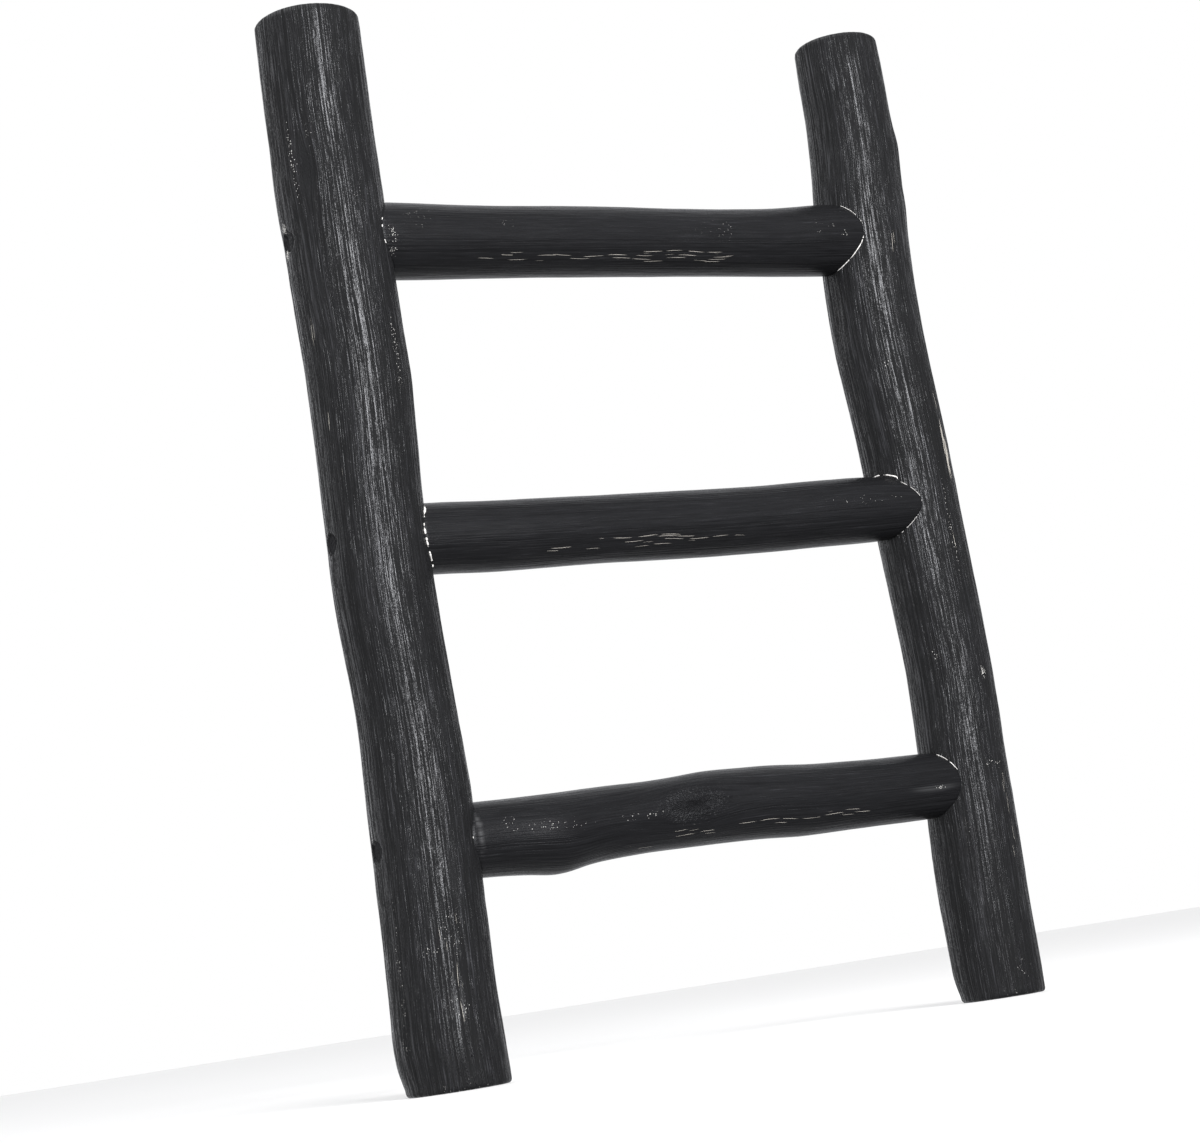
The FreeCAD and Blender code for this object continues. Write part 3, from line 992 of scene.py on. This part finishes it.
def log_material(name, finish):
    """Black-stained wood with fine grain whose ridges are smoother than the hollows between them."""
    material, tree, surface = shader(name)
    grain = field(tree, "grain", "Vector")
    strand = noise_at(tree, grain, STRAND_GRAIN)
    fibre = noise_at(tree, grain, FIBRE_GRAIN)
    fine = noise_at(tree, grain, FINE_GRAIN)
    granule = noise_at(tree, grain, GRANULE_GRAIN)
    threads = blended(tree, zip((strand, fibre), THREAD_SHARES))
    tree.links.new(log_colour(tree, finish, grain, threads, fine), surface.inputs["Base Color"])
    ridges = blended(tree, [
        *zip((fibre, fine, granule), GLOSS_SHARES),
        (field(tree, "cut"), -CUT_DULLNESS),
        (field(tree, "knot"), -finish["knot_dullness"]),
    ])
    roughness = ramp(tree, ridges, finish["roughness"])
    tree.links.new(roughness, surface.inputs["Roughness"])
    surface.inputs["Specular IOR Level"].default_value = finish["gloss"]
    wrinkles = noise_at(tree, field(tree, "burst", "Vector"), WRINKLE_GRAIN)
    wrinkled = maths(tree, "MULTIPLY", wrinkles, field(tree, "knot"))
    ridge_height = ramp(tree, threads, RIDGE_STOPS)
    height = blended(tree, [
        *zip((ridge_height, fine, granule), HEIGHT_SHARES),
        (wrinkled, finish["wrinkles"]),
    ])
    add_bump(tree, surface, height, GRAIN_BUMP, finish["grain_height"])
    return material


def speckled_material(name, tones, values, scale):
    """A small part's finish: two tones in fine specks, with a bump to match."""
    material, tree, surface = shader(name)
    place = add_node(tree, "ShaderNodeTexCoord").outputs["Object"]
    specks = noise_at(tree, place, (scale, scale, scale), SPECK_DETAIL)
    tree.links.new(ramp(tree, specks, tones), surface.inputs["Base Color"])
    for key, value in values.items():
        surface.inputs[key].default_value = value
    add_bump(tree, surface, specks, SPECK_BUMP, SPECK_HEIGHT)
    return material


def add_floor():
    """A pale floor, larger than the view, that doesn't throw light back at the ladder."""
    mesh = bpy.data.meshes.new("floor")
    low, high = -FLOOR_REACH, FLOOR_REACH
    mesh.from_pydata([(low, low, 0), (high, low, 0), (high, high, 0), (low, high, 0)], [], [(0, 1, 2, 3)])
    floor = bpy.data.objects.new("floor", mesh)
    bpy.context.scene.collection.objects.link(floor)
    paint, _, surface = shader("floor_paint")
    surface.inputs["Base Color"].default_value = FLOOR_COLOUR
    surface.inputs["Roughness"].default_value = FLOOR_ROUGHNESS
    surface.inputs["Emission Color"].default_value = WHITE
    surface.inputs["Emission Strength"].default_value = FLOOR_GLOW
    mesh.materials.append(paint)
    floor.visible_diffuse = False
    floor.visible_glossy = False


def add_light(name, place, target, width, height, power):
    """A soft light panel that faces a target."""
    light = bpy.data.lights.new(name, "AREA")
    light.shape = "RECTANGLE"
    light.size = width
    light.size_y = height
    light.energy = power
    light.color = LIGHT_COLOUR[:3]
    lamp = bpy.data.objects.new(name, light)
    lamp.location = place
    lamp.rotation_euler = (Vector(target) - Vector(place)).to_track_quat("-Z", "Y").to_euler()
    bpy.context.scene.collection.objects.link(lamp)


def add_world():
    """White all round in the picture, and soft light from the back for the ladder."""
    world = bpy.data.worlds.new("studio")
    bpy.context.scene.world = world
    world.use_nodes = True
    tree = world.node_tree
    shown = tree.nodes["Background"]
    shown.inputs["Color"].default_value = WHITE
    shown.inputs["Strength"].default_value = 1.0
    direction = add_node(tree, "ShaderNodeTexCoord").outputs["Generated"]
    fade = add_node(tree, "ShaderNodeMapRange", {
        "Value": vector_maths(tree, "DOT_PRODUCT", direction, WORLD_BRIGHT_SIDE),
        "From Min": -1.0,
        "From Max": 1.0,
        "To Min": WORLD_LIGHT_DARK,
        "To Max": WORLD_LIGHT_BRIGHT,
    })
    lit = add_node(tree, "ShaderNodeBackground", {
        "Color": LIGHT_COLOUR,
        "Strength": fade.outputs["Result"],
    })
    seen = add_node(tree, "ShaderNodeLightPath").outputs["Is Camera Ray"]
    both = add_node(tree, "ShaderNodeMixShader", {
        0: seen,
        1: lit.outputs["Background"],
        2: shown.outputs["Background"],
    })
    tree.links.new(both.outputs["Shader"], tree.nodes["World Output"].inputs["Surface"])


def add_camera():
    """The photograph's camera."""
    turn, tilt, roll = CAMERA_TURN, CAMERA_TILT, CAMERA_ROLL
    forward = np.array([math.sin(turn) * math.cos(tilt), math.cos(turn) * math.cos(tilt), math.sin(tilt)])
    level = np.array([math.cos(turn), -math.sin(turn), 0.0])
    upright = np.cross(level, forward)
    right = math.cos(roll) * level + math.sin(roll) * upright
    up = -math.sin(roll) * level + math.cos(roll) * upright
    data = bpy.data.cameras.new("camera")
    data.lens = CAMERA_LENS_MM
    data.sensor_width = CAMERA_SENSOR_MM
    data.sensor_fit = "HORIZONTAL"
    data.clip_start = CAMERA_CLIP
    camera = bpy.data.objects.new("camera", data)
    columns = Matrix((right, up, -forward)).transposed()
    camera.matrix_world = Matrix.Translation(CAMERA_PLACE) @ columns.to_4x4()
    bpy.context.scene.collection.objects.link(camera)
    bpy.context.scene.camera = camera


def build_ladder():
    """Every visible piece of the ladder."""
    rail_wood = log_material("stained_rail_wood", RAIL_FINISH)
    rung_wood = log_material("stained_rung_wood", RUNG_FINISH)
    plug_wood = speckled_material("stained_plug_wood", PLUG_TONES, PLUG_SURFACE, PLUG_SPECKS)
    zinc = speckled_material("zinc_plating", ZINC_TONES, ZINC_SURFACE, ZINC_SPECKS)
    glue = speckled_material("dried_glue", GLUE_TONES, GLUE_SURFACE, GLUE_SPECKS)
    rails = {side: Log("rail_" + side, UP, RIGHT) for side in RAIL_NAMES}
    rungs = {name: Log("rung_" + name, RIGHT, UP) for name in RUNG_NAMES}
    trees = {}
    for number, side in enumerate(RAIL_NAMES):
        skin = rail_skin(rails[side], side, rail_wood, RAIL_SEED + SEED_STEP * number)
        trees[side] = skin_tree(skin.data)
    for number, name in enumerate(RUNG_NAMES):
        rung_skin(rungs[name], name, trees, rung_wood, RUNG_SEED + SEED_STEP * number)
        for side_number, side in enumerate(RAIL_NAMES):
            seed = SEED_STEP * number + side_number
            glue_line(rungs[name], trees[side], side, name, glue, GLUE_SEED + seed)
            plug_piece(side, name, plug_wood, PLUG_SEED + seed)
            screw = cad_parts["screw_" + side + "_" + name]
            screw.data.materials.clear()
            screw.data.materials.append(zinc)


build_ladder()
add_floor()
add_world()
add_light("front_panel", PANEL_PLACE, PANEL_TARGET, PANEL_WIDTH, PANEL_HEIGHT, PANEL_POWER)
add_camera()
bpy.context.scene.view_settings.view_transform = "Standard"
